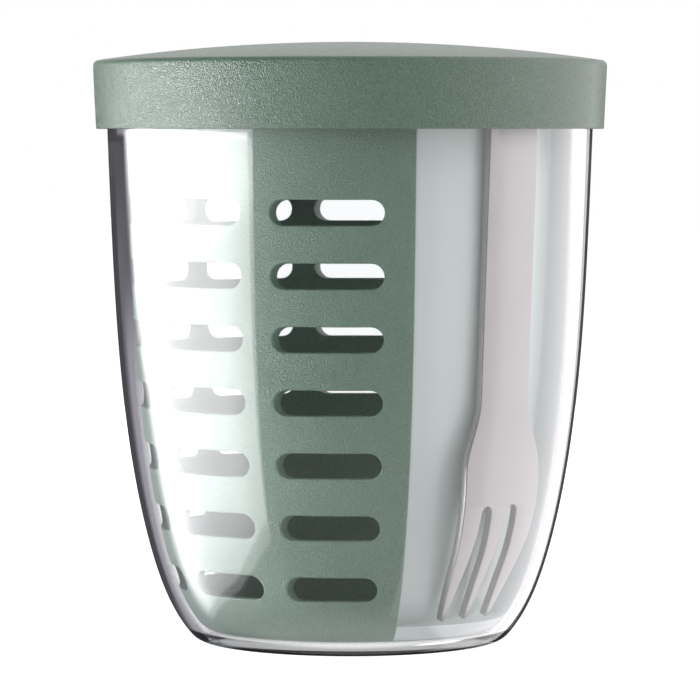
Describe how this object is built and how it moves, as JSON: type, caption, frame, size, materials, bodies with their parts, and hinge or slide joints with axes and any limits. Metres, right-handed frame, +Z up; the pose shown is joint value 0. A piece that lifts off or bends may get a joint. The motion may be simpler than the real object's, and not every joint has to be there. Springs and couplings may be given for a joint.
{
  "type": "food storage container",
  "caption": "Clear tapering food pot with a slotted strainer insert, a steel fork stored in the insert's pocket and a domed twist-on lid.",
  "frame": {"origin": "on the pot's axis, on the surface that its base stands on", "axes": "+Z up along the pot's axis, +X towards the fork in its pocket"},
  "size_m": [0.1068, 0.1068, 0.1246],
  "materials": {
    "clear_plastic": "clear, polished",
    "strainer_plastic": "fine spark-eroded grain, satin",
    "lid_plastic": "fine spark-eroded grain, satin",
    "steel": "finely brushed along its length",
    "silicone": "soft, satin"
  },
  "bodies": {
    "pot": {"pot": "clear_plastic"},
    "strainer": {"strainer": "strainer_plastic", "fork": "steel"},
    "lid_seal": {"lid_seal": "silicone"},
    "lid": {"lid": "lid_plastic"}
  },
  "joints": [
    {"name": "strainer_lift", "type": "slide", "parent": "pot", "child": "strainer", "axis": [0, 0, 1], "range_m": [0, 0.12]},
    {"name": "lid_lift", "type": "slide", "parent": "strainer", "child": "lid_seal", "axis": [0, 0, 1], "range_m": [0, 0.07]},
    {"name": "lid_turn", "type": "hinge", "parent": "lid_seal", "child": "lid", "pos_m": [0, 0, 0.1185], "axis": [0, 0, 1], "range_deg": [-45, 0]}
  ]
}
